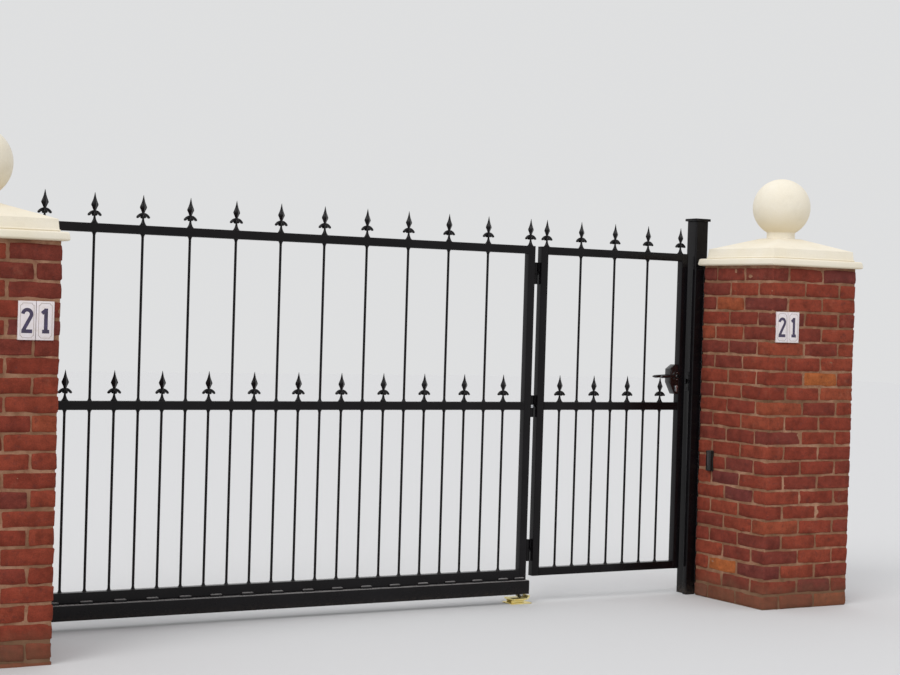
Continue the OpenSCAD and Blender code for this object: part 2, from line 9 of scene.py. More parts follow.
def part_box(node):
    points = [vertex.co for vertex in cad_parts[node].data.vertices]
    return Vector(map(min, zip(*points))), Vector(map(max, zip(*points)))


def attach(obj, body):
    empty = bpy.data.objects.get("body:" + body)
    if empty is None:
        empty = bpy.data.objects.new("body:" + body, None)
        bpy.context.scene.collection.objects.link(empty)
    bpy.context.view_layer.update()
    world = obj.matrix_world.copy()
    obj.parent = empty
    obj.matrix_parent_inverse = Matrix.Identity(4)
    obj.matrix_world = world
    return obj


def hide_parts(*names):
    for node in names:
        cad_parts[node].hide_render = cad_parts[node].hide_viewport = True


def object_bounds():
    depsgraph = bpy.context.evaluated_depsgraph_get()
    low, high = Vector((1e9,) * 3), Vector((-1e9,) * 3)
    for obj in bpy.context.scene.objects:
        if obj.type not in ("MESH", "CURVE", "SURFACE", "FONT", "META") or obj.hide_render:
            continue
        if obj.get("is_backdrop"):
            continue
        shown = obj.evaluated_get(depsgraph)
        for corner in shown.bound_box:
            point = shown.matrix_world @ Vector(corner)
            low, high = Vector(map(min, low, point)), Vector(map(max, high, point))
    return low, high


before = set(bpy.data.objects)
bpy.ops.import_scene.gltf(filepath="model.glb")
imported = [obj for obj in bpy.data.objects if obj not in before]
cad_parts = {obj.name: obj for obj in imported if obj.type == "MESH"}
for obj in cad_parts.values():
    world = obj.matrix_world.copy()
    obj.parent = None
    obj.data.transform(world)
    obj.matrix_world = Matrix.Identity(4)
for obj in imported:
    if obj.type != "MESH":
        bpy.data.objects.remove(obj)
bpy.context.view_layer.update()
random.seed(21)
noise.seed_set(21)

# Brick piers
# Two and a half bricks square, laid with one header and two stretchers to a face, the other way
# round in every second course. The bricks are sand-faced red facings with worn arrises, on mortar
# that is struck a little behind them.

BRICK_L = 0.215
BRICK_W = 0.1025
BRICK_H = 0.065
ARRIS = 0.005
JOINT = 0.010
COURSE_H = BRICK_H + JOINT
PIER_W = 0.552
MORTAR_IN = 0.0040
SLIVER = 0.008
WEAR = 0.0046
PITTING = 0.0022
OUT_OF_LEVEL = 0.0035
OUT_OF_LINE = 0.0007
MORTAR_WAVE = 0.0030
PALE_BRICKS = (("right_pier", 7, 0, 1), ("right_pier", 20, 3, 1))


def deselect_all():
    if bpy.context.object and bpy.context.object.mode != "OBJECT":
        bpy.ops.object.mode_set(mode="OBJECT")
    bpy.ops.object.select_all(action="DESELECT")


def pick(*pieces):
    deselect_all()
    for piece in pieces:
        piece.select_set(True)
    bpy.context.view_layer.objects.active = pieces[0]


def edit_all(piece):
    """Goes to edit mode with the whole piece selected."""
    pick(piece)
    bpy.ops.object.mode_set(mode="EDIT")
    bpy.ops.mesh.select_all(action="SELECT")


def edit_some(piece, test, mode="FACE"):
    """Goes to edit mode with only the faces or edges that pass the test selected."""
    pick(piece)
    bpy.ops.object.mode_set(mode="EDIT")
    bpy.ops.mesh.select_mode(type=mode)
    bpy.ops.mesh.select_all(action="DESELECT")
    mesh = bmesh.from_edit_mesh(piece.data)
    for part in mesh.faces if mode == "FACE" else mesh.edges:
        if test(part):
            part.select_set(True)
    bmesh.update_edit_mesh(piece.data)


def leave_edit():
    bpy.ops.object.mode_set(mode="OBJECT")


def copy_of(piece, matrix):
    """A copy with its own mesh, moved by a matrix."""
    other = piece.copy()
    other.data = piece.data.copy()
    other.data.transform(matrix)
    bpy.context.scene.collection.objects.link(other)
    return other


def joined(name, pieces):
    pick(*pieces)
    if len(pieces) > 1:
        bpy.ops.object.join()
    piece = bpy.context.object
    piece.name = name
    piece.data.name = name
    return piece


def discard(piece):
    bpy.data.objects.remove(piece, do_unlink=True)


def fit(piece, body, slot, material, *nodes, angle=35):
    """Smooths and paints a finished piece and fixes it to its body."""
    pick(piece)
    bpy.ops.object.transform_apply()
    bpy.ops.object.shade_smooth_by_angle(angle=math.radians(angle))
    piece.data.materials.clear()
    piece.data.materials.append(material)
    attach(piece, body)
    if nodes:
        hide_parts(*nodes)


class Wiring:
    """The nodes of a material or of the sky, added and linked one at a time."""

    def __init__(self, tree):
        self.nodes = tree.nodes
        self.links = tree.links

    def put(self, target, value):
        """Gives an input a number, a colour or the output of another node."""
        if isinstance(value, bpy.types.NodeSocket):
            self.links.new(value, target)
        else:
            target.default_value = (*value, 1) if isinstance(value, tuple) else value

    def node(self, kind, **values):
        node = self.nodes.new("ShaderNode" + kind)
        for socket, value in values.items():
            self.put(node.inputs[socket], value)
        return node

    def ramp(self, value, *stops, smooth=False):
        node = self.node("ValToRGB", Fac=value)
        ramp = node.color_ramp
        ramp.interpolation = "EASE" if smooth else "LINEAR"
        while len(ramp.elements) < len(stops):
            ramp.elements.new(0.5)
        for element, (at, colour) in zip(ramp.elements, stops):
            element.position = at
            element.color = (*colour, 1) if isinstance(colour, tuple) else (colour, colour, colour, 1)
        return node.outputs["Color"]

    def maths(self, operation, first, second):
        node = self.node("Math")
        node.operation = operation
        self.put(node.inputs[0], first)
        self.put(node.inputs[1], second)
        return node.outputs[0]

    def upright(self, source):
        return self.node("SeparateXYZ", Vector=source).outputs["Z"]


class Finish(Wiring):
    """A material on Object coordinates, round the shader that the material starts with."""

    def __init__(self, name, colour, roughness, metallic=0.0, specular=0.5):
        self.material = bpy.data.materials.new(name)
        self.material.use_nodes = True
        super().__init__(self.material.node_tree)
        self.shader = self.nodes["Principled BSDF"].inputs
        self.put(self.shader["Base Color"], colour)
        self.put(self.shader["Roughness"], roughness)
        self.put(self.shader["Metallic"], metallic)
        self.put(self.shader["Specular IOR Level"], specular)
        self.place = self.node("TexCoord").outputs["Object"]

    def noise(self, scale, detail=4.0, rough=0.55, place=None, distortion=0.0):
        node = self.node("TexNoise", Vector=place or self.place, Scale=scale, Detail=detail,
                         Roughness=rough, Distortion=distortion)
        return node.outputs["Fac"]

    def clouds(self, scale, detail, rough, *stops, place=None):
        """Noise whose low and high parts take the tones of the stops."""
        return self.ramp(self.noise(scale, detail, rough, place), *stops)

    def mix(self, amount, first, second, blend="MIX"):
        node = self.node("Mix")
        node.data_type = "RGBA"
        node.blend_type = blend
        for value, socket in ((amount, 0), (first, 6), (second, 7)):
            self.put(node.inputs[socket], value)
        return node.outputs[2]

    def shifted(self, amount):
        """Object coordinates moved by a value, so that each brick has its own pattern."""
        node = self.node("VectorMath")
        self.put(node.inputs[0], self.place)
        self.put(node.inputs[1], amount)
        return node.outputs[0]

    def height(self):
        return self.upright(self.place)

    def facing_up(self):
        return self.upright(self.node("NewGeometry").outputs["Normal"])

    def colour(self, source):
        self.put(self.shader["Base Color"], source)

    def roughness(self, *cloud, place=None):
        self.put(self.shader["Roughness"], self.clouds(*cloud, place=place))

    def bump(self, source, depth, strength, under=None):
        node = self.node("Bump", Distance=depth, Strength=strength, Height=source)
        if under is not None:
            self.put(node.inputs["Normal"], under)
        self.put(self.shader["Normal"], node.outputs["Normal"])
        return node.outputs["Normal"]

    def marked(self, clean, marks, marking, roughness, grain, depth, strength):
        """Marks on a clean colour, roughness and grain, each from noise of its own."""
        self.colour(self.mix(self.clouds(*marks), clean, marking))
        self.roughness(*roughness)
        self.bump(self.noise(*grain), depth, strength)


def brick_finish():
    brick = Finish("sand_faced_brick", (0.20, 0.04, 0.028), 0.88, specular=0.12)
    own_tone = brick.node("Attribute")
    own_tone.attribute_name = "tone"
    tone = own_tone.outputs["Fac"]
    place = brick.shifted(brick.maths("MULTIPLY", tone, 37.0))
    fired = brick.ramp(tone, (0.0, (0.148, 0.036, 0.030)), (0.10, (0.176, 0.038, 0.026)),
                       (0.50, (0.214, 0.040, 0.023)), (0.94, (0.252, 0.052, 0.028)),
                       (0.985, (0.275, 0.064, 0.031)), (1.0, (0.38, 0.110, 0.034)))
    mottle = brick.clouds(16, 6, 0.65, (0.30, 0.66), (0.50, 1.0), (0.72, 1.28), place=place)
    base = brick.mix(1.0, fired, mottle, "MULTIPLY")
    scorch = brick.clouds(36, 5, 0.7, (0.54, 0.0), (0.74, 0.60), place=place)
    base = brick.mix(scorch, base, (0.085, 0.030, 0.027))
    bloom = brick.clouds(11, 6, 0.75, (0.58, 0.0), (0.78, 0.24), place=place)
    base = brick.mix(bloom, base, (0.42, 0.20, 0.125))
    sand = brick.clouds(240, 6, 0.8, (0.36, 0.74), (0.50, 1.0), (0.64, 1.26), place=place)
    base = brick.mix(1.0, base, sand, "MULTIPLY")
    ragged = brick.maths("ADD", brick.height(), brick.maths("MULTIPLY", brick.noise(14, 3), 0.12))
    splash = brick.ramp(ragged, (0.07, 0.55), (0.24, 0.0), smooth=True)
    brick.colour(brick.mix(splash, base, (0.165, 0.095, 0.055)))
    brick.roughness(60, 4, 0.6, (0.3, 0.78), (0.7, 0.95), place=place)
    grain = brick.bump(brick.noise(420, 6, 0.8, place), 0.0016, 0.9)
    brick.bump(brick.noise(65, 6, 0.65, place, 0.6), 0.0034, 0.8, grain)
    return brick.material


def mortar_finish():
    mortar = Finish("sand_cement_mortar", (0.29, 0.15, 0.10), 0.95, specular=0.12)
    patch = mortar.clouds(7, 6, 0.65, (0.30, (0.16, 0.082, 0.044)), (0.50, (0.29, 0.150, 0.087)),
                          (0.70, (0.46, 0.258, 0.164)))
    sand = mortar.clouds(600, 3, 0.6, (0.35, 0.80), (0.65, 1.15))
    base = mortar.mix(1.0, patch, sand, "MULTIPLY")
    smear = mortar.clouds(30, 5, 0.7, (0.55, 0.0), (0.70, 0.6))
    base = mortar.mix(smear, base, (0.185, 0.062, 0.041))
    splash = mortar.ramp(mortar.height(), (0.03, 0.75), (0.20, 0.0), smooth=True)
    mortar.colour(mortar.mix(splash, base, (0.150, 0.090, 0.052)))
    grain = mortar.bump(mortar.noise(480, 4, 0.7), 0.0014, 0.9)
    mortar.bump(mortar.noise(45, 5, 0.6), 0.004, 0.7, grain)
    return mortar.material


def square_block(low, high):
    """A plain block from corner to corner, still to be shaped."""
    deselect_all()
    bpy.ops.mesh.primitive_cube_add(size=1, location=(low + high) / 2)
    piece = bpy.context.object
    piece.scale = high - low
    bpy.ops.object.transform_apply()
    return piece


def block(name, low, high, radius, segments=3):
    """A block from corner to corner with rounded edges."""
    piece = square_block(low, high)
    edit_all(piece)
    bpy.ops.mesh.bevel(offset=radius, segments=segments, affect="EDGES")
    leave_edit()
    piece.name = name
    return piece


def foot(low, high):
    """The middle of a box's underside."""
    return Vector(((low.x + high.x) / 2, (low.y + high.y) / 2, low.z))


def worn_brick(turn):
    """One facing brick with soft, uneven arrises."""
    half = Vector((BRICK_L, BRICK_W, BRICK_H)) / 2
    brick = block("brick", -half, half, ARRIS, 1)
    edit_some(brick, lambda face: face.calc_area() > 0.002)
    bpy.ops.mesh.subdivide(number_cuts=2)
    leave_edit()
    for vertex in brick.data.vertices:
        spot = vertex.co + Vector((turn, 0, 0))
        vertex.co += WEAR * noise.noise_vector(spot * 22) + PITTING * noise.noise_vector(spot * 90)
    return brick


def cut_below(piece, z):
    """Takes off all of a piece that is lower than z and closes the cut."""
    edit_all(piece)
    bpy.ops.mesh.bisect(plane_co=(0, 0, z), plane_no=(0, 0, 1), use_fill=True, clear_inner=True)
    leave_edit()
    return piece


def lay_bricks(pier_node, top_gap):
    """The facing bricks of one pier, course by course from the top down into the ground."""
    low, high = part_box(pier_node)
    middle = foot(low, high)
    half = PIER_W / 2
    bricks = []
    top = high.z - top_gap - BRICK_H / 2
    course = 0
    while top - course * COURSE_H + BRICK_H / 2 > SLIVER:
        z = top - course * COURSE_H
        hand = 1 if course % 2 == 0 else -1
        for side in range(4):
            for step in (1, 2):
                x = -half + BRICK_W + JOINT + BRICK_L / 2 + (step - 1) * (BRICK_L + JOINT)
                spot = Vector((hand * x, -half + BRICK_W / 2, z))
                flip = Matrix.Rotation(math.pi * random.randint(0, 1), 4, random.choice("XYZ"))
                tilt = Matrix.Rotation(random.gauss(0, OUT_OF_LEVEL), 4, random.choice("XYZ"))
                slip = Vector([random.gauss(0, OUT_OF_LINE) for _ in range(3)])
                turn = Matrix.Rotation(side * math.pi / 2, 4, "Z")
                where = Matrix.Translation(middle) @ turn @ Matrix.Translation(spot + slip)
                brick = copy_of(random.choice(masters), where @ tilt @ flip)
                tone = brick.data.attributes.new("tone", "FLOAT", "FACE")
                value = random.random()
                if (pier_node, course, side, step) in PALE_BRICKS:
                    value = 1.0
                tone.data.foreach_set("value", [value] * len(brick.data.polygons))
                bricks.append(brick)
        course += 1
    return cut_below(joined(pier_node + "_bricks", bricks), low.z)


def mortar_core(pier_node):
    """The bedding mortar, struck a little behind the brick faces, with an uneven skin."""
    low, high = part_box(pier_node)
    half = Vector((PIER_W / 2 - MORTAR_IN, PIER_W / 2 - MORTAR_IN, 0))
    middle = foot(low, high)
    core = square_block(middle - half, middle + half + Vector((0, 0, high.z)))
    edit_all(core)
    bpy.ops.mesh.subdivide(number_cuts=60)
    leave_edit()
    for vertex in core.data.vertices:
        if 0.001 < vertex.co.z < high.z - 0.001:
            shift = MORTAR_WAVE * noise.noise_vector(vertex.co * 26)
            vertex.co += Vector((shift.x, shift.y, 0))
    core.name = pier_node + "_mortar"
    return core


masters = [worn_brick(turn) for turn in range(8)]
brick_red = brick_finish()
mortar_buff = mortar_finish()
for pier_node, gap in (("left_pier", 0.015), ("right_pier", 0.012)):
    fit(lay_bricks(pier_node, gap), "posts", "red_brick", brick_red, pier_node, angle=50)
    fit(mortar_core(pier_node), "posts", "red_brick", mortar_buff, pier_node)
for master in masters:
    discard(master)

# Pier caps and balls
# Cast stone: a moulding with round edges, a bead, a band and straight slopes up to the neck, and a
# ball turned in one piece with its neck. They are a warm cream with faint weathering, and each sits
# in a thin bed of mortar.

BED_HALF = 0.285
MOULD_FOOT = 0.300
MOULD_TOP = 0.297
MOULD_H = 0.037
MOULD_R = 0.010
BEAD_HALF = 0.269
BEAD_R = 0.0045
BAND_FOOT = 0.265
BAND_TOP = 0.2615
BAND_TOP_Z = 0.087
CAP_H = 0.148
CAP_ARRIS = 0.0035
NECK_R = 0.072
NECK_H = 0.034
BALL_R = 0.148
BALL_Z = 0.1623


def bow(across, up, radius, start, end, count=5):
    """Points on an arc, from one angle in degrees to another."""
    angles = [math.radians(start + (end - start) * i / count) for i in range(count + 1)]
    return [(across + radius * math.cos(a), up + radius * math.sin(a)) for a in angles]


def draw_out(*step):
    bpy.ops.mesh.extrude_region_move(TRANSFORM_OT_translate={"value": step})


def face_outwards():
    """Turns every face outwards and leaves edit mode."""
    bpy.ops.mesh.select_all(action="SELECT")
    bpy.ops.mesh.normals_make_consistent(inside=False)
    leave_edit()


def open_ring(sides, radius, spot, turn=(0, 0, 0), scale=(1, 1, 1)):
    """A filled ring in edit mode, ready to be drawn out."""
    deselect_all()
    bpy.ops.mesh.primitive_circle_add(vertices=sides, radius=radius, fill_type="NGON", location=spot,
                                      rotation=turn)
    ring = bpy.context.object
    ring.scale = scale
    bpy.ops.object.transform_apply()
    edit_all(ring)
    return ring


def raised(steps, sides, place=Matrix()):
    """A ring raised through rings of other sizes, closed at both ends, and put in its place."""
    was_r, was_z = steps[0]
    spot = Vector((0, 0, was_z))
    piece = open_ring(sides, was_r, spot)
    for r, z in steps[1:]:
        draw_out(0, 0, z - was_z)
        bpy.ops.transform.resize(value=(r / was_r, r / was_r, 1), center_override=spot)
        was_r, was_z = r, z
    face_outwards()
    piece.data.transform(place)
    return piece


def round_edges(piece, radius, segments, over):
    """Rounds the edges that turn by more than an angle in degrees."""
    soft = piece.modifiers.new("rounded edges", "BEVEL")
    soft.width = radius
    soft.segments = segments
    soft.limit_method = "ANGLE"
    soft.angle_limit = math.radians(over)
    bpy.ops.object.modifier_apply(modifier=soft.name)
    return piece


def placed(name, data):
    """A new object in the scene, selected on its own."""
    piece = bpy.data.objects.new(name, data)
    bpy.context.scene.collection.objects.link(piece)
    pick(piece)
    return piece


def stone_finish():
    stone = Finish("cast_stone", (0.84, 0.79, 0.66), 0.80, specular=0.3)
    tint = stone.clouds(3.5, 5, 0.6, (0.3, (0.84, 0.760, 0.59)), (0.7, (0.88, 0.82, 0.69)))
    fine = stone.clouds(240, 4, 0.6, (0.3, 0.95), (0.7, 1.02))
    base = stone.mix(1.0, tint, fine, "MULTIPLY")
    base = stone.mix(stone.clouds(11, 6, 0.7, (0.56, 0.0), (0.82, 0.20)), base, (0.50, 0.43, 0.30))
    # Faces that look down are mixed towards a deeper, yellower cream: painted shade with painted bounce light
    # from the ground beneath.
    under = stone.ramp(stone.maths("MULTIPLY", stone.facing_up(), -1.0), (0.0, 0.0), (0.9, 0.45))
    stone.colour(stone.mix(under, base, (0.66, 0.54, 0.32)))
    pores = stone.bump(stone.noise(420, 4, 0.7), 0.0008, 0.7)
    stone.bump(stone.noise(24, 5, 0.55), 0.0026, 0.4, pores)
    return stone.material


def cast_cap(name, cap_node):
    """A square ring raised step by step along the cap's outline."""
    outline = [(BED_HALF, 0.0)] + bow(MOULD_FOOT - MOULD_R, MOULD_R, MOULD_R, -90, 0)[1:]
    outline += bow(MOULD_TOP - MOULD_R, MOULD_H - MOULD_R, MOULD_R, 0, 80)
    outline += bow(BEAD_HALF - BEAD_R, MOULD_H + BEAD_R, BEAD_R, -80, 80, 6)
    outline += [(BAND_FOOT, MOULD_H + 2 * BEAD_R), (BAND_TOP, BAND_TOP_Z), (NECK_R + 0.002, CAP_H)]
    place = Matrix.Translation(foot(*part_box(cap_node))) @ Matrix.Rotation(math.pi / 4, 4, "Z")
    cap = raised([(half * math.sqrt(2), z) for half, z in outline], 4, place)
    cap.name = name
    return round_edges(cap, CAP_ARRIS, 3, 24)


def cast_ball(name, ball_node):
    """Half an outline of neck and ball, spun round the upright axis."""
    middle = foot(*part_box(ball_node))
    meeting = math.degrees(math.acos(NECK_R / BALL_R))
    outline = [(0, 0), (NECK_R + 0.004, 0), (NECK_R + 0.0015, 0.0025), (NECK_R, 0.007)]
    outline += [(NECK_R, NECK_H - 0.005), (NECK_R + 0.0006, NECK_H - 0.002)]
    outline += bow(0, BALL_Z, BALL_R, -meeting + 1.2, 90, 44)
    points = [Vector((x, 0, z)) + middle for x, z in outline]
    points[-1].x = middle.x
    mesh = bpy.data.meshes.new(name)
    mesh.from_pydata(points, [(i, i + 1) for i in range(len(points) - 1)], [])
    ball = placed(name, mesh)
    edit_all(ball)
    bpy.ops.mesh.spin(steps=96, angle=2 * math.pi, center=middle, axis=(0, 0, 1))
    bpy.ops.mesh.select_all(action="SELECT")
    bpy.ops.mesh.remove_doubles(threshold=0.00005)
    face_outwards()
    return ball


cream_stone = stone_finish()
for side in ("left", "right"):
    cap_node = side + "_pier_cap"
    fit(cast_cap(side + "_cast_cap", cap_node), "posts", "cast_stone", cream_stone, cap_node)
    ball_node = side + "_pier_ball"
    ball = cast_ball(side + "_cast_ball", ball_node)
    fit(ball, "posts", "cast_stone", cream_stone, ball_node, angle=50)

# Number tiles
# Two glazed ceramic tiles side by side on each pier, bedded on adhesive. Each has a thin fired
# border line with hollow corners, and a plain numeral in dark blue glaze.

TILE_W = 0.072
TILE_R = 0.0022
TILE_IN = 0.0006
BORDER_IN = 0.0080
BORDER_W = 0.0018
HOLLOW_CORNER = 0.009
STROKE_R = 0.0078
GLAZE_T = 0.0005
NUMERAL_TWO = [bow(0, 0.0245, 0.0175, 176, -28, 14) + [(-0.0150, -0.0400)],
               [(-0.0220, -0.0425), (0.0215, -0.0425)]]
NUMERAL_ONE = [[(-0.0145, 0.0290), (0.0030, 0.0430)], [(0.0020, 0.0485), (0.0020, -0.0400)],
               [(-0.0125, -0.0425), (0.0165, -0.0425)]]


def solids(node):
    """Lowest and highest corner of each separate solid of a node, from left to right."""
    mesh = bmesh.new()
    mesh.from_mesh(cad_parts[node].data)
    bmesh.ops.remove_doubles(mesh, verts=mesh.verts, dist=0.00001)
    left = set(mesh.verts)
    boxes = []
    while left:
        front = [left.pop()]
        spots = []
        while front:
            vertex = front.pop()
            spots.append(vertex.co)
            for edge in vertex.link_edges:
                other = edge.other_vert(vertex)
                if other in left:
                    left.remove(other)
                    front.append(other)
        axes = list(zip(*spots))
        boxes.append((Vector([min(axis) for axis in axes]), Vector([max(axis) for axis in axes])))
    mesh.free()
    return sorted(boxes, key=lambda box: [round(value, 4) for value in box[0]])


def border_line(middle, half_w, half_h):
    """A thin raised line round a tile, hollow at its corners."""
    deselect_all()
    bpy.ops.mesh.primitive_plane_add(size=2, location=middle, rotation=(math.pi / 2, 0, 0))
    line = bpy.context.object
    line.scale = (half_w, half_h, 1)
    bpy.ops.object.transform_apply()
    edit_all(line)
    bpy.ops.mesh.bevel(offset=HOLLOW_CORNER, segments=6, affect="VERTICES", profile=0.12)
    bpy.ops.mesh.inset(thickness=BORDER_W)
    bpy.ops.mesh.delete(type="FACE")
    leave_edit()
    fired = line.modifiers.new("fired", "SOLIDIFY")
    fired.thickness = GLAZE_T
    fired.offset = 0
    bpy.ops.object.modifier_apply(modifier=fired.name)
    return line


def glaze_strokes(paths, middle):
    """A numeral brushed in thick glaze: its strokes stand a little above the tile."""
    curve = bpy.data.curves.new("numeral", "CURVE")
    curve.dimensions = "3D"
    curve.bevel_depth = STROKE_R
    curve.bevel_resolution = 3
    curve.use_fill_caps = True
    for path in paths:
        spline = curve.splines.new("POLY")
        spline.points.add(len(path) - 1)
        for point, (across, up) in zip(spline.points, path):
            point.co = (across, 0, up, 1)
    placed("numeral", curve)
    bpy.ops.object.convert(target="MESH")
    numeral = bpy.context.object
    numeral.scale = (1, GLAZE_T / STROKE_R, 1)
    numeral.location = middle
    bpy.ops.object.transform_apply()
    return numeral


def glaze_finish(name, light, dark):
    glaze = Finish(name, light, 0.16)
    glaze.put(glaze.shader["Coat Weight"], 0.6)
    glaze.put(glaze.shader["Coat Roughness"], 0.06)
    glaze.marked(light, (45, 4, 0.5, (0.35, 0.0), (0.72, 1.0)), dark,
                 (90, 4, 0.6, (0.3, 0.10), (0.75, 0.30)), (30, 2, 0.5), 0.0006, 0.35)
    return glaze.material


white_glaze = glaze_finish("white_glaze", (0.80, 0.74, 0.76), (0.74, 0.66, 0.63))
blue_glaze = glaze_finish("dark_blue_glaze", (0.020, 0.010, 0.040), (0.044, 0.026, 0.095))
border_glaze = glaze_finish("border_glaze", (0.30, 0.245, 0.21), (0.48, 0.41, 0.36))
bodies, borders, numerals = [], [], []
for low, high in solids("number_tiles"):
    for x0, strokes in ((low.x, NUMERAL_TWO), (high.x - TILE_W, NUMERAL_ONE)):
        face = Vector((x0 + TILE_W / 2, low.y + TILE_IN, (low.z + high.z) / 2))
        tile_high = Vector((x0 + TILE_W, high.y + MORTAR_IN, high.z))
        bodies.append(block("tile", Vector((x0, face.y, low.z)), tile_high, TILE_R))
        borders.append(border_line(face, TILE_W / 2 - BORDER_IN, (high.z - low.z) / 2 - BORDER_IN))
        numerals.append(glaze_strokes(strokes, face))
for part_name, parts, glaze in (("bodies", bodies, white_glaze), ("borders", borders, border_glaze),
                                ("numerals", numerals, blue_glaze)):
    fit(joined("number_tile_" + part_name, parts), "posts", "glazed_tile", glaze, "number_tiles")

# Photocell
# The moulded black housing of the safety beam, screwed to the reveal of the right pier. It has a
# deep smoked window over its lens, and a cover that clips over a base plate.

CELL_BASE_T = 0.006
COVER_IN = 0.0012
COVER_R = 0.0045
WINDOW_IN = 0.0065
WINDOW_DEEP = 0.0022
WINDOW_GAP = 0.0008
WINDOW_FOOT = 0.020


low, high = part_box("photocell")
base = block("cell_base", Vector((high.x - CELL_BASE_T, low.y, low.z)), high, 0.002)
step_in = Vector((0, COVER_IN, COVER_IN))
cover_high = high - step_in - Vector((CELL_BASE_T - 0.001, 0, 0))
cover = block("cell_cover", low + step_in, cover_high, COVER_R, 4)
edit_some(cover, lambda face: face.normal.x < -0.99 and face.calc_area() > 0.001)
bpy.ops.mesh.inset(thickness=WINDOW_IN - COVER_R)
draw_out(WINDOW_DEEP, 0, 0)
leave_edit()
plastic = Finish("black_moulded_plastic", (0.012, 0.013, 0.012), 0.48, specular=0.35)
chalk = plastic.clouds(24, 5, 0.6, (0.45, 0.0), (0.80, 0.5))
chalky = plastic.mix(chalk, (0.010, 0.011, 0.010), (0.024, 0.025, 0.022))
dust = plastic.ramp(plastic.facing_up(), (0.5, 0.0), (0.95, 0.4))
plastic.colour(plastic.mix(dust, chalky, (0.17, 0.15, 0.13)))
plastic.roughness(40, 4, 0.6, (0.3, 0.34), (0.7, 0.52))
plastic.bump(plastic.noise(900, 3, 0.6), 0.0003, 0.6)
housing = joined("photocell_housing", [cover, base])
fit(housing, "posts", "black_plastic", plastic.material, "photocell")
window_in = WINDOW_IN + WINDOW_GAP
window_low = low + Vector((0.0012, window_in, WINDOW_IN + WINDOW_FOOT))
window_high = Vector((low.x + 0.006, high.y - window_in, high.z - window_in))
window = block("photocell_window", window_low, window_high, 0.0008, 2)
smoked = Finish("smoked_window", (0.012, 0.006, 0.007), 0.08)
smoked.marked((0.010, 0.005, 0.006), (60, 4, 0.6, (0.45, 0.0), (0.85, 0.35)), (0.040, 0.030, 0.030),
              (35, 4, 0.6, (0.35, 0.06), (0.75, 0.20)), (20, 2, 0.5), 0.0004, 0.2)
fit(window, "posts", "black_plastic", smoked.material, "photocell")

# Latch post, cap plate and closing strip
# Square steel tube with rolled corners under thick black gloss paint, closed with a plate that
# oversails it. A flatter box section is welded up its front to cover the gap beside the gate.

SCREW_R = 0.0045
KEEP_SCREWS = 0.037


def gloss_paint(name, grain, gloss, dust_and_sheen=(0.02, 0.12), shine=0.17):
    """Thick black gloss: nearly black itself, with the sky and the ground in its surface."""
    black = (0.0048, 0.0040, 0.0046)
    paint = Finish(name, black, gloss, specular=shine)
    paint_tone = paint.mix(paint.clouds(5, 5, 0.6, (0.45, 0.0), (0.80, 1.0)), black, (0.0085, 0.0076, 0.0090))
    # Faces that look up are mixed towards pale grey: partly settled dust, and partly a painted highlight
    # standing for the bright sky reflected on the top faces of rails and bars.
    up = paint.ramp(paint.facing_up(), (0.60, 0.0), (0.95, 1.0))
    dust_and_top_sheen = paint.clouds(26, 5, 0.6, (0.30, dust_and_sheen[0]), (0.75, dust_and_sheen[1]))
    paint_tone = paint.mix(paint.maths("MULTIPLY", up, dust_and_top_sheen), paint_tone, (0.36, 0.345, 0.335))
    low_down = paint.ramp(paint.height(), (0.0, 0.5), (0.09, 0.0), smooth=True)
    spots = paint.clouds(60, 5, 0.7, (0.40, 0.0), (0.66, 1.0))
    paint.colour(paint.mix(paint.maths("MULTIPLY", low_down, spots), paint_tone, (0.10, 0.072, 0.052)))
    paint.roughness(9, 4, 0.6, (0.35, gloss - 0.03), (0.72, gloss + 0.07))
    peel = paint.bump(paint.noise(210, 2, 0.5), 0.0002 * grain, 0.25)
    paint.bump(paint.noise(12, 2, 0.5), 0.0008 * grain, 0.20, peel)
    return paint.material


def softened(name, node, radius, body, slot, material, segments=2, angle=35):
    """A merged copy of a node's solids, its sharp edges rounded over, fitted in the node's place."""
    piece = placed(name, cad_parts[node].data.copy())
    edit_all(piece)
    bpy.ops.mesh.remove_doubles(threshold=0.00001)
    bpy.ops.mesh.dissolve_limited(angle_limit=math.radians(0.5))
    face_outwards()
    fit(round_edges(piece, radius, segments, 35), body, slot, material, node, angle=angle)


def towards(direction, spot=(0, 0, 0)):
    """A place where +Z is turned round to a direction."""
    turn = Vector((0, 0, 1)).rotation_difference(Vector(direction))
    return Matrix.Translation(spot) @ turn.to_matrix().to_4x4()


def set_out(name, master, places, body, slot, material, *nodes, angle=35):
    """Copies of a master in all its places, as one piece."""
    copies = [copy_of(master, place) for place in places]
    fit(joined(name, copies), body, slot, material, *nodes, angle=angle)


def screw_head(radius):
    """A countersunk cross-head screw, from just above the face that it lies in."""
    screw = raised([(radius, -0.0010), (radius, 0.0003), (radius * 0.9, 0.0006)], 20)
    edit_some(screw, lambda face: face.normal.z > 0.99)
    bpy.ops.mesh.inset(thickness=radius * 0.35)
    draw_out(0, 0, -0.0012)
    leave_edit()
    return screw


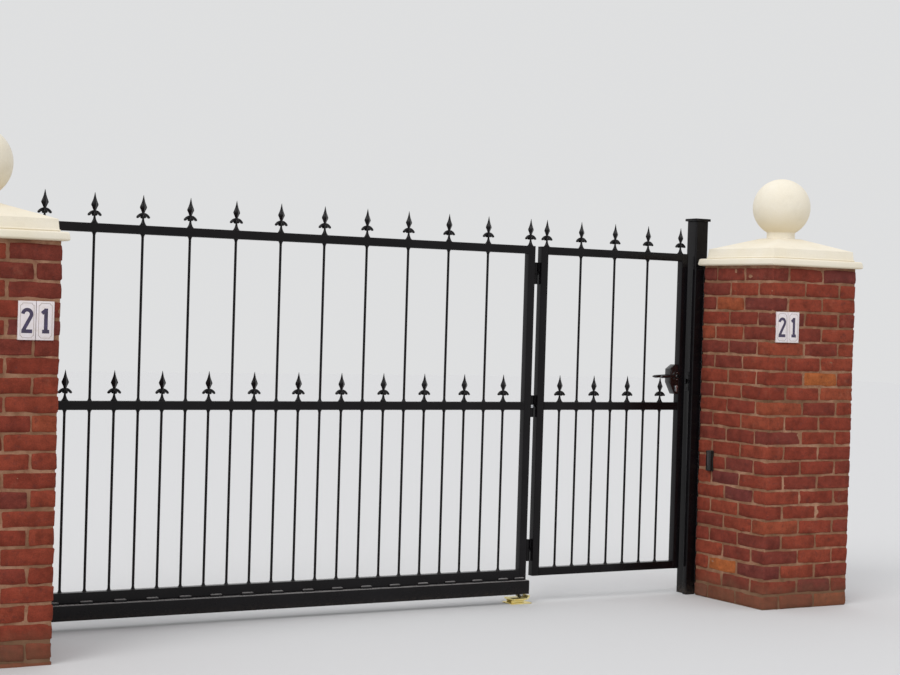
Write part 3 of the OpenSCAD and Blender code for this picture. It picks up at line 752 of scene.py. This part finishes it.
in_black = ("black_gloss_paint", gloss_paint("black_gloss_paint", 1.0, 0.22))
zinc = Finish("bright_zinc_plate", (0.66, 0.68, 0.70), 0.30, 1.0)
cloudy = zinc.clouds(70, 5, 0.6, (0.35, (0.50, 0.51, 0.53)), (0.70, (0.76, 0.77, 0.78)))
zinc.marked(cloudy, (35, 5, 0.7, (0.58, 0.0), (0.80, 0.55)), (0.30, 0.25, 0.20),
            (120, 4, 0.6, (0.3, 0.24), (0.7, 0.46)), (420, 3, 0.6), 0.0002, 0.6)
in_zinc = ("plated_steel", zinc.material)
softened("latch_post_tube", "latch_post", 0.001, "posts", *in_black)
softened("latch_post_cap_plate", "latch_post_cap", 0.0025, "posts", *in_black, segments=3)
softened("closing_strip_box", "closing_strip", 0.0015, "posts", *in_black)
softened("lock_keep_plate", "lock_keep", 0.0008, "posts", *in_black)
low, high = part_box("lock_keep")
keep = Vector((low.x, (low.y + high.y) / 2, (low.z + high.z) / 2))
screw = screw_head(SCREW_R)
places = [towards((-1, 0, 0), keep + Vector((0, 0, rise))) for rise in (-KEEP_SCREWS, KEEP_SCREWS)]
set_out("lock_keep_screws", screw, places, "posts", *in_black)

# Roller carriages
# Two steel carriages bolted to a footing, each a stem between two pairs of wheels that run inside
# the beam. The wheels are turned steel with a worn tread and a bearing in each side.

FOOT_T = 0.012
FOOT_BOLT_AF = 0.017
FOOT_BOLT_H = 0.0095
BOLT_IN_X = 0.022
BOLT_IN_Y = 0.0135
WHEEL_CHAMFER = 0.002
WHEEL_DISH = 0.0028
WHEEL_BORE = 0.0085


def bolt_head(across, height, washer=True):
    """A hexagon head with chamfered corners, on a washer."""
    corner = across / math.sqrt(3)
    head = raised([(corner, 0.001), (corner, height * 0.85), (corner * 0.88, height)], 6)
    if not washer:
        return head
    ring = raised([(corner * 1.18, 0), (corner * 1.18, 0.0013), (corner * 1.10, 0.0018)], 24)
    return joined("bolt", [head, ring])


def turned_wheel(low, high, bore):
    """A wheel on a cross axle: chamfered tread, dished sides and a bearing ring."""
    r = (high.z - low.z) / 2
    half = (high.y - low.y) / 2
    dish = half - WHEEL_DISH
    side = [(bore * 1.05, half - 0.0010), (bore * 1.7, half - 0.0010), (bore * 1.75, half - 0.0022)]
    side += [(bore * 2.1, dish), (r - 0.006, dish), (r - 0.005, half), (r - WHEEL_CHAMFER, half)]
    side += [(r, half - WHEEL_CHAMFER)]
    place = Matrix.Translation((low + high) / 2) @ Matrix.Rotation(math.pi / 2, 4, "X")
    return raised([(a, -b) for a, b in side] + side[::-1], 48, place)


softened("carriage_castings", "roller_carriages", 0.0015, "posts", *in_zinc)
foot_bolt = bolt_head(FOOT_BOLT_AF, FOOT_BOLT_H)
places = []
for low, high in solids("roller_carriages"):
    for x in (low.x + BOLT_IN_X, high.x - BOLT_IN_X):
        for y in (low.y + BOLT_IN_Y, high.y - BOLT_IN_Y):
            places.append(Matrix.Translation((x, y, low.z + FOOT_T)))
set_out("carriage_bolts", foot_bolt, places, "posts", *in_zinc)
discard(foot_bolt)
steel = Finish("worn_wheel_steel", (0.20, 0.20, 0.21), 0.38, 1.0)
steel.marked((0.27, 0.27, 0.28), (60, 5, 0.65, (0.40, 0.0), (0.68, 0.9)), (0.055, 0.048, 0.042),
             (90, 4, 0.6, (0.3, 0.28), (0.7, 0.60)), (300, 3, 0.6), 0.0003, 0.6)
wheels = [turned_wheel(low, high, WHEEL_BORE) for low, high in solids("carriage_rollers")]
fit(joined("carriage_wheels", wheels), "posts", "dark_steel", steel.material, "carriage_rollers")

# End catch
# The stop at the closed end, on the ground under the leading stile: a base plate, two ribs and a
# cradle that curls up at its end, folded from plate and plated in yellow zinc.

yellow = Finish("yellow_zinc_plate", (0.90, 0.78, 0.32), 0.30, 0.85)
cloudy = yellow.clouds(28, 5, 0.6, (0.32, (0.84, 0.64, 0.19)), (0.50, (0.93, 0.80, 0.34)),
                       (0.70, (0.91, 0.84, 0.48)))
yellow.marked(cloudy, (60, 5, 0.7, (0.58, 0.0), (0.80, 0.45)), (0.36, 0.28, 0.16),
              (110, 4, 0.6, (0.3, 0.26), (0.7, 0.50)), (380, 3, 0.6), 0.0002, 0.6)
softened("end_catch_plates", "end_catch", 0.0009, "posts", "yellow_zinc", yellow.material, angle=40)

# Track beam, its ends and the nose wheel
# A cold-formed channel with a slot along its underside, closed at both ends with welded plates. The
# front plate carries a small wheel that lifts on to the end catch. Stitch welds tie the leaf to it.

WELD_L = 0.064
WELD_R = 0.0145
WELD_IN = 0.0015
WELD_CUT = 0.003
WELD_PITCH = 0.1545
FIRST_WELD = -1.161
END_WELD = -1.072
NOSE_BORE = 0.0062
NUT_AF = 0.018
NUT_H = 0.0075
NUT_OUT = 0.0045


def weld_bead(place, radius, length, steps, bluntness, thin, ripple):
    """A rippled weld, full in the middle and thin at its ends, along the Z of its place."""
    rings = []
    for i in range(steps + 1):
        swell = max(1 - abs(2 * i / steps - 1) ** bluntness, thin) ** 0.5
        rings.append((radius * swell * (1 - ripple[i % len(ripple)]), length * (i / steps - 0.5)))
    return raised(rings, 10, place)


beam_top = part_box("track_beam")[1].z
low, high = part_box("leaf_bottom_rail")
# The beam's paint carries a heavier pale film on the faces that look up: mostly settled dust, with the same
# painted top-face highlight as the other black paint.
dust_and_sheen_black = ("black_gloss_paint", gloss_paint("black_gloss_with_dust_and_sheen", 1.0, 0.24, (0.55, 0.95)))
softened("track_beam_channel", "track_beam", 0.0008, "sliding_leaf", *dust_and_sheen_black)
softened("beam_end_plates", "beam_ends", 0.0012, "sliding_leaf", *dust_and_sheen_black)
bead = weld_bead(towards((1, 0, 0)), WELD_R, WELD_L, 36, 9, 0.05, (0.06, 0.03, 0.0, 0.03))
beads = []
welds = [END_WELD]
while welds[-1] > low.x + WELD_PITCH:
    welds.append(FIRST_WELD - WELD_PITCH * (len(welds) - 1))
for side in (-1, 1):
    for x in welds:
        slip = 0.006 * noise.noise(Vector((x * 9, side, 0)))
        place = Matrix.Translation((x + slip, side * (high.y - WELD_IN), beam_top - 0.0005))
        beads.append(copy_of(bead, place @ Matrix.Rotation(random.uniform(0, 0.6), 4, "X")))
discard(bead)
welded = cut_below(joined("stitch_welds", beads), beam_top - WELD_CUT)
fit(welded, "sliding_leaf", *dust_and_sheen_black, angle=50)
low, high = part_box("nose_wheel")
nose = turned_wheel(low, high, NOSE_BORE)
nose.name = "nose_wheel_turned"
fit(nose, "sliding_leaf", "plated_steel", steel.material, "nose_wheel")
nut = bolt_head(NUT_AF, NUT_H, washer=False)
axle = (low + high) / 2
nut_y = (high.y - low.y) / 2 + NUT_OUT
places = [towards((0, side, 0), (axle.x, side * nut_y, axle.z)) for side in (-1, 1)]
set_out("nose_wheel_nuts", nut, places, "sliding_leaf", *in_zinc)
discard(nut)

# Welded frames
# Stiles and rails of square steel tube with rolled corners, welded and ground flush, under the same
# gloss as the post. The pedestrian gate is framed in the same tube.

CORNER_R = 0.003
LENGTHS = {
    "sliding_leaf": ("leaf_top_rail", "leaf_mid_rail", "leaf_bottom_rail", "leading_stile", "tail_stile"),
    "pedestrian_gate": ("wicket_top_rail", "wicket_mid_rail", "wicket_bottom_rail",
                        "wicket_hinge_stile", "wicket_lock_stile"),
}


def tube(node):
    """A length of square tube, rounded along its long edges as rolled tube is."""
    low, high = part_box(node)
    length = square_block(low, high)
    longest = max(high - low)
    edit_some(length, lambda edge: edge.calc_length() > 0.99 * longest, "EDGE")
    bpy.ops.mesh.bevel(offset=CORNER_R, segments=5, affect="EDGES")
    leave_edit()
    length.name = node + "_tube"
    return length


for body, nodes in LENGTHS.items():
    for node in nodes:
        fit(tube(node), body, *in_black, node)

# Round bars
# Twelve millimetre round bar, welded to the rails with a flared fillet at each end. The full bars
# pass through the middle rail, where they are welded above and below it.

BAR_R = 0.006
FILLET = ((0.0125, 0.0000), (0.0100, 0.0020), (0.0080, 0.0050), (0.0068, 0.0090), (BAR_R, 0.0140))
LUMPS = 0.0009
GATES = (("leaf", "sliding_leaf"), ("wicket", "pedestrian_gate"))


def bar_with_welds(x, foot_z, top_z, crossing):
    """A bar drawn up from a ring, through its weld fillets, from one rail to the next."""
    rings = [(r, foot_z + z) for r, z in FILLET]
    if crossing:
        under, over = crossing
        rings += [(r, under - z) for r, z in reversed(FILLET)]
        rings += [(r, over + z) for r, z in FILLET]
    rings += [(r, top_z - z) for r, z in reversed(FILLET)]
    return raised(rings, 16, Matrix.Translation((x, 0, 0)))


def bar_row(gate, kind, body):
    node = f"{gate}_{kind}_bars"
    foot_z, top_z = [corner.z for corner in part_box(node)]
    crossing = [corner.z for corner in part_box(gate + "_mid_rail")]
    bars = []
    for low, high in solids(node):
        through = crossing if kind == "full" else None
        bars.append(bar_with_welds((low.x + high.x) / 2, foot_z, top_z, through))
    row = joined(f"{gate}_{kind}_bar_row", bars)
    for vertex in row.data.vertices:
        if min(abs(vertex.co.z - z) for z in (foot_z, *crossing, top_z)) < FILLET[3][1]:
            lump = LUMPS * noise.noise_vector(vertex.co * 160)
            vertex.co += Vector((lump.x, lump.y, 0))
    fit(row, body, *in_black, node)


for gate, body in GATES:
    bar_row(gate, "full", body)
    bar_row(gate, "dog", body)

# Finials
# Cast iron spear heads: a bell that stands on the rail, two broad leaves that droop along the rail
# and two short ones across it, and a four-sided blade with hollow faces. Every rail carries copies.

BELL_STEPS = (
    (0.0155, 0.000), (0.0155, 0.002), (0.0132, 0.0045), (0.0108, 0.008), (0.0082, 0.014),
    (0.0060, 0.021), (0.0048, 0.028), (0.0046, 0.036), (0.0058, 0.044), (0.0074, 0.050), (0.0060, 0.056),
)
BLADE_STEPS = (
    (0.0066, 0.0550), (0.0078, 0.0600), (0.0112, 0.0680), (0.0150, 0.0755), (0.0168, 0.0790),
    (0.0170, 0.0815), (0.0158, 0.0860), (0.0128, 0.0930), (0.0100, 0.0995), (0.0075, 0.1065),
    (0.0053, 0.1145), (0.0032, 0.1240), (0.0007, 0.1360),
)
LEAF_STEPS = (
    (0.0030, 0.0510, 0.0062, 0.0120, 0), (0.0090, 0.0508, 0.0088, 0.0126, 12),
    (0.0145, 0.0482, 0.0104, 0.0130, 30), (0.0195, 0.0445, 0.0110, 0.0130, 42),
    (0.0240, 0.0402, 0.0104, 0.0126, 46), (0.0276, 0.0366, 0.0082, 0.0112, 46),
    (0.0296, 0.0346, 0.0046, 0.0078, 46),
)
LEAF_BOW = 0.30
SIDE_LEAF = 0.62
HOLLOW = 0.13


def drooping_leaf():
    """A ring drawn out from the neck and turned down along the leaf, then bowed about its midrib."""
    x, z, half, thick, lean = LEAF_STEPS[0]
    leaf = open_ring(10, 1, (x, 0, z), (0, math.pi / 2, 0), (thick / 2, half, 1))
    for next_x, next_z, next_half, next_thick, next_lean in LEAF_STEPS[1:]:
        draw_out(next_x - x, 0, next_z - z)
        spot = Vector((next_x, 0, next_z))
        bpy.ops.transform.rotate(value=math.radians(lean), orient_axis="Y", center_override=spot)
        bpy.ops.transform.resize(value=(1, next_half / half, next_thick / thick), center_override=spot)
        bpy.ops.transform.rotate(value=-math.radians(next_lean), orient_axis="Y", center_override=spot)
        x, z, half, thick, lean = next_x, next_z, next_half, next_thick, next_lean
    face_outwards()
    for vertex in leaf.data.vertices:
        vertex.co.z -= LEAF_BOW * abs(vertex.co.y)
    return leaf


def cast_finial():
    blade = raised(BLADE_STEPS, 4)
    edit_some(blade, lambda face: abs(face.normal.z) < 0.9)
    bpy.ops.mesh.subdivide(number_cuts=1)
    leave_edit()
    for vertex in blade.data.vertices:
        between = abs(math.sin(2 * math.atan2(vertex.co.y, vertex.co.x)))
        vertex.co.x *= 1 - HOLLOW * between
        vertex.co.y *= 1 - HOLLOW * between
    bell = raised(BELL_STEPS, 24)
    leaf = drooping_leaf()
    leaves = [leaf, copy_of(leaf, Matrix.Rotation(math.pi, 4, "Z"))]
    shorter = Matrix.Diagonal((SIDE_LEAF, 0.8, 1, 1))
    for turn in (math.pi / 2, -math.pi / 2):
        leaves.append(copy_of(leaf, Matrix.Rotation(turn, 4, "Z") @ shorter))
    return joined("finial_master", [blade, bell] + leaves)


finial = cast_finial()
cast_paint = gloss_paint("black_gloss_on_castings", 2.2, 0.26)
for gate, body in GATES:
    for kind in ("top", "dog"):
        node = f"{gate}_{kind}_finials"
        places = [Matrix.Translation(((low.x + high.x) / 2, 0, low.z)) for low, high in solids(node)]
        set_out(node[:-1] + "_row", finial, places, body, "black_gloss_paint", cast_paint, node, angle=32)
discard(finial)

# Hinges
# Three weld-on pin hinges between the leading stile and the pedestrian gate. Thrust collars part
# the knuckles of each. Those of the middle hinge are bare zinc, and the others were painted over.

COLLAR_R = 0.0160
COLLAR_H = 0.0075
COLLAR_CHAMFER = 0.0012
COLLAR_GAP = 0.0001
SEAM_R = 0.0042
SEAM_OUT = 0.0055


def collar(x, y, foot_z):
    small = COLLAR_R - COLLAR_CHAMFER
    steps = [(small, 0), (COLLAR_R, COLLAR_CHAMFER), (COLLAR_R, COLLAR_H - COLLAR_CHAMFER), (small, COLLAR_H)]
    return raised(steps, 40, Matrix.Translation((x, y, foot_z)))


softened("hinge_pin_knuckles", "hinge_pins", 0.0014, "sliding_leaf", *in_black)
softened("hinge_gate_knuckles", "hinge_barrels", 0.0014, "pedestrian_gate", *in_black)
lead_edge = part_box("leading_stile")[1].x
gate_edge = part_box("wicket_hinge_stile")[0].x
painted, bare, seams = ([], []), ([], []), ([], [])
levels = [sorted(solids(node), key=lambda box: box[0].z) for node in ("hinge_pins", "hinge_barrels")]
for level, (pin, (low, high)) in enumerate(zip(*levels)):
    y = (low.y + high.y) / 2
    knuckle_h = high.z - low.z
    feet = (pin[0].z, low.z)
    rings = bare if level == 1 else painted
    for half, foot_z in enumerate((feet[0] + knuckle_h - COLLAR_H + COLLAR_GAP, feet[1] - COLLAR_GAP)):
        rings[half].append(collar((lead_edge + gate_edge) / 2, y, foot_z))
    for half, edge in enumerate((lead_edge, gate_edge)):
        for side in (-1, 1):
            place = Matrix.Translation((edge, y + side * SEAM_OUT, feet[half] + knuckle_h / 2))
            seams[half].append(weld_bead(place, SEAM_R, knuckle_h * 0.86, 16, 4, 0.03, (0.0, 0.08)))
for kind, rings, paint in (("painted", painted, in_black), ("bare", bare, in_zinc)):
    fit(joined(kind + "_collars_on_leaf", rings[0]), "sliding_leaf", *paint)
    fit(joined(kind + "_collars_on_gate", rings[1]), "pedestrian_gate", *paint)
fit(joined("hinge_seams_on_leaf", seams[0]), "sliding_leaf", *in_black, angle=50)
fit(joined("hinge_seams_on_gate", seams[1]), "pedestrian_gate", *in_black, angle=50)

# Lock
# A steel lock box welded to the lock stile, with a round rose on each side for the levers and a
# profile cylinder below. The forend carries the latch bolt, and the levers are bent round bar,
# stove enamelled like the box, which shines more than the brushed paint.

LEVER_R = 0.0078
NECK_BAR_R = 0.0085
NECK_FOOT = 0.0215
ELBOW_R = 0.014
LEVER_DROOP = math.radians(3.5)
LEVER_TAPER = (LEVER_R / NECK_BAR_R, 1.02, 1.0, 0.98)
LEVER_DOME = ((0.0030, 0.92), (0.0025, 0.72), (0.0015, 0.40))
HUB_IN = 0.012
END_IN = 0.0075
FOREND_SCREWS = 0.078
FOREND_HALF = 0.003
ROSE_SCREWS = 0.0175
ROSE_SCREW_R = 0.0028
PLUG_R = 0.0064
KEYWAY = Vector((0.0022, 0.0020, 0.0090))

lever_low, lever_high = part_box("front_lever")
hub = Vector((lever_high.x - HUB_IN, 0, (lever_low.z + lever_high.z) / 2))


def bent_lever(out, reach):
    """A round bar: straight out from the rose, round an elbow and along to a domed end."""
    neck_end = reach - ELBOW_R - LEVER_R
    start = hub + Vector((0, out * NECK_FOOT, 0))
    lever = open_ring(24, NECK_BAR_R, start, (math.pi / 2, 0, 0))
    draw_out(0, out * (neck_end - NECK_FOOT), 0)
    bend = hub + Vector((-ELBOW_R, out * neck_end, 0))
    bpy.ops.mesh.spin(steps=8, angle=math.pi / 2, center=bend, axis=(0, 0, out))
    spot = bend + Vector((0, out * ELBOW_R, 0))
    run = (lever_low.x + END_IN - bend.x) / len(LEVER_TAPER)
    for shrink in LEVER_TAPER:
        step = Vector((run, 0, run * math.tan(LEVER_DROOP)))
        draw_out(*step)
        spot += step
        bpy.ops.transform.resize(value=(1, shrink, shrink), center_override=spot)
    was = 1.0
    for run, part in LEVER_DOME:
        draw_out(-run, 0, 0)
        spot.x -= run
        bpy.ops.transform.resize(value=(1, part / was, part / was), center_override=spot)
        was = part
    bpy.ops.mesh.select_all(action="SELECT")
    bpy.ops.mesh.remove_doubles(threshold=0.00001)
    face_outwards()
    return lever


def lever_collar(out, y):
    """The turned collar that the lever's neck stands in, on its rose."""
    steps = [(0.0125, y - 0.0040), (0.0125, y + 0.0016), (0.0118, y + 0.0028), (0.0098, y + 0.0032)]
    return raised(steps, 36, towards((0, out, 0), hub))


enamelled = ("black_gloss_paint", gloss_paint("lock_enamel", 0.4, 0.13, (0.01, 0.05), 0.75))
softened("lock_case_box", "lock_case", 0.0018, "pedestrian_gate", *enamelled)
softened("lock_forend_and_latch", "lock_bolt", 0.0007, "pedestrian_gate", *in_zinc)
case_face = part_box("lock_case")[1].y
low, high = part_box("lock_bolt")
forend = Vector((low.x + FOREND_HALF, 0, (low.z + high.z) / 2))
places = [towards((1, 0, 0), forend + Vector((0, 0, rise))) for rise in (-FOREND_SCREWS, FOREND_SCREWS)]
set_out("lock_forend_screws", screw, places, "pedestrian_gate", *in_zinc)
discard(screw)
screw = screw_head(ROSE_SCREW_R)
places = []
for out in (-1, 1):
    for rise in (-ROSE_SCREWS, ROSE_SCREWS):
        places.append(towards((0, out, 0), hub + Vector((0, out * case_face, rise))))
set_out("rose_screws", screw, places, "pedestrian_gate", *in_zinc)
discard(screw)
softened("key_cylinder_profile", "key_cylinder", 0.0008, "pedestrian_gate", *in_zinc)
plugs, keyways = [], []
low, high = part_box("key_cylinder")
key_z = high.z - (high.x - low.x) / 2
for out in (-1, 1):
    steps = ((PLUG_R, high.y - 0.002), (PLUG_R, high.y + 0.0006), (PLUG_R - 0.0005, high.y + 0.0010))
    plug = raised(steps, 32)
    edit_some(plug, lambda face: face.normal.z > 0.99)
    bpy.ops.mesh.inset(thickness=0.0012)
    leave_edit()
    plug.data.transform(towards((0, out, 0), (hub.x, 0, key_z)))
    plugs.append(plug)
    mouth = Vector((hub.x, out * (high.y + 0.0001), key_z))
    keyways.append(block("keyway", mouth - KEYWAY / 2, mouth + KEYWAY / 2, 0.0003, 2))
fit(joined("key_plugs", plugs), "pedestrian_gate", *in_zinc)
fit(joined("keyways", keyways), "pedestrian_gate", "plated_steel", steel.material)
for node, out, reach in (("front_lever", -1, -lever_low.y), ("back_lever", 1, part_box("back_lever")[1].y)):
    lever = joined(node + "_bar", [bent_lever(out, reach), lever_collar(out, case_face)])
    fit(lever, "lever_handles", *enamelled, node)

# Guides
# A post behind the leaf and a bracket on the back of the left pier hold a nylon roller each against
# the middle rail, so that the leaf stays upright as it slides. Each roller hangs on a headed pin.

BRACKET_T = 0.008
ANCHOR_AF = 0.019
ANCHOR_H = 0.0085
ANCHOR_IN_X = 0.020
ANCHOR_IN_Z = 0.022
PIN_NUT_H = 0.0090


def guide_roller(low, high):
    """A nylon roller with chamfered rims and a recess round its pin."""
    r = (high.x - low.x) / 2
    end = [(0.0068, 0.0012), (0.0110, 0.0012), (0.0120, 0.0), (r - 0.002, 0.0), (r, 0.002)]
    steps = end + [(a, high.z - low.z - b) for a, b in reversed(end)]
    return raised(steps, 48, Matrix.Translation(foot(low, high)))


softened("guide_post_tube", "guide_post", 0.003, "posts", *in_black, segments=3)
softened("guide_bracket_plates", "guide_bracket", 0.0012, "posts", *in_black)
nylon = Finish("white_nylon", (0.70, 0.69, 0.65), 0.45)
nylon.put(nylon.shader["Subsurface Weight"], 0.08)
nylon.put(nylon.shader["Subsurface Radius"], Vector((0.004, 0.003, 0.002)))
nylon.marked((0.72, 0.71, 0.67), (50, 5, 0.65, (0.46, 0.0), (0.76, 0.65)), (0.24, 0.22, 0.19),
             (80, 4, 0.6, (0.3, 0.36), (0.7, 0.60)), (260, 3, 0.6), 0.0003, 0.5)
rollers = [guide_roller(low, high) for low, high in solids("guide_rollers")]
fit(joined("guide_nylon_rollers", rollers), "posts", "white_nylon", nylon.material, "guide_rollers")
low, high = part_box("guide_bracket")
anchor = bolt_head(ANCHOR_AF, ANCHOR_H)
places = []
for x in (low.x + ANCHOR_IN_X, high.x - ANCHOR_IN_X):
    for z in (low.z + ANCHOR_IN_Z, high.z - ANCHOR_IN_Z):
        places.append(towards((0, 1, 0), (x, low.y + BRACKET_T, z)))
set_out("bracket_anchors", anchor, places, "posts", *in_zinc)
discard(anchor)
nut = bolt_head(NUT_AF, PIN_NUT_H)
plate_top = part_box("guide_post")[1].z
places = []
for low, high in solids("guide_rollers"):
    places.append(Matrix.Translation(((low.x + high.x) / 2, (low.y + high.y) / 2, plate_top)))
set_out("guide_pin_nuts", nut, places, "posts", *in_zinc)
discard(nut)

# Floor, light and camera
# A plain pale floor and backdrop, soft studio light, and the camera where the photograph was taken.

FLOOR_TONE = (0.64, 0.64, 0.635)
BACKDROP_TONE = (0.735, 0.74, 0.745)
SKY_TINT = (0.985, 0.99, 1.02)
SKY_TONES = ((0.0, 0.38), (0.05, 0.46), (0.22, 0.90), (1.0, 0.95))
KEY_FROM = Vector((-0.64, -0.36, 0.68))
CAMERA_PLACE = Vector((-6.1265, -7.8796, 1.4375))
CAMERA_RIGHT = Vector((0.86215, -0.50577, 0.02990))
CAMERA_UP = Vector((-0.01942, 0.02597, 0.99947))
PHOTO_WIDTH_PX = 900
FOCAL_PX = 1869.3

deselect_all()
bpy.ops.mesh.primitive_plane_add(size=60, location=(-2, 0, 0))
floor = bpy.context.object
floor.name = "floor"
floor.data.materials.append(Finish("pale_floor", FLOOR_TONE, 0.9).material)
floor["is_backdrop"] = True

world = bpy.data.worlds.new("studio")
bpy.context.scene.world = world
world.use_nodes = True
sky = Wiring(world.node_tree)
plain = sky.nodes["Background"]
sky.put(plain.inputs["Color"], BACKDROP_TONE)
sky.put(plain.inputs["Strength"], 1.0)
climb = sky.upright(sky.node("TexCoord").outputs["Generated"])
tones = [(at, tuple(grey * tint for tint in SKY_TINT)) for at, grey in SKY_TONES]
dome = sky.node("Background", Color=sky.ramp(climb, *tones), Strength=1.0)
ray = sky.node("LightPath").outputs
mirrored = sky.maths("MAXIMUM", ray["Is Glossy Ray"], ray["Is Transmission Ray"])
chosen = sky.node("MixShader", Fac=sky.maths("MAXIMUM", ray["Is Camera Ray"], mirrored))
sky.put(chosen.inputs[1], dome.outputs[0])
sky.put(chosen.inputs[2], plain.outputs[0])
sky.put(sky.nodes["World Output"].inputs["Surface"], chosen.outputs[0])

key = bpy.data.lights.new("key", "SUN")
key.energy = 1.0
key.angle = math.radians(30)
placed("key", key).rotation_euler = KEY_FROM.to_track_quat("Z", "Y").to_euler()

camera = placed("camera", bpy.data.cameras.new("camera"))
camera.data.sensor_width = 36
camera.data.lens = FOCAL_PX / PHOTO_WIDTH_PX * camera.data.sensor_width
turned = Matrix((CAMERA_RIGHT, CAMERA_UP, CAMERA_RIGHT.cross(CAMERA_UP))).transposed()
camera.matrix_world = Matrix.Translation(CAMERA_PLACE) @ turned.to_4x4()
bpy.context.scene.camera = camera
bpy.context.scene.view_settings.view_transform = "Standard"

low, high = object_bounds()
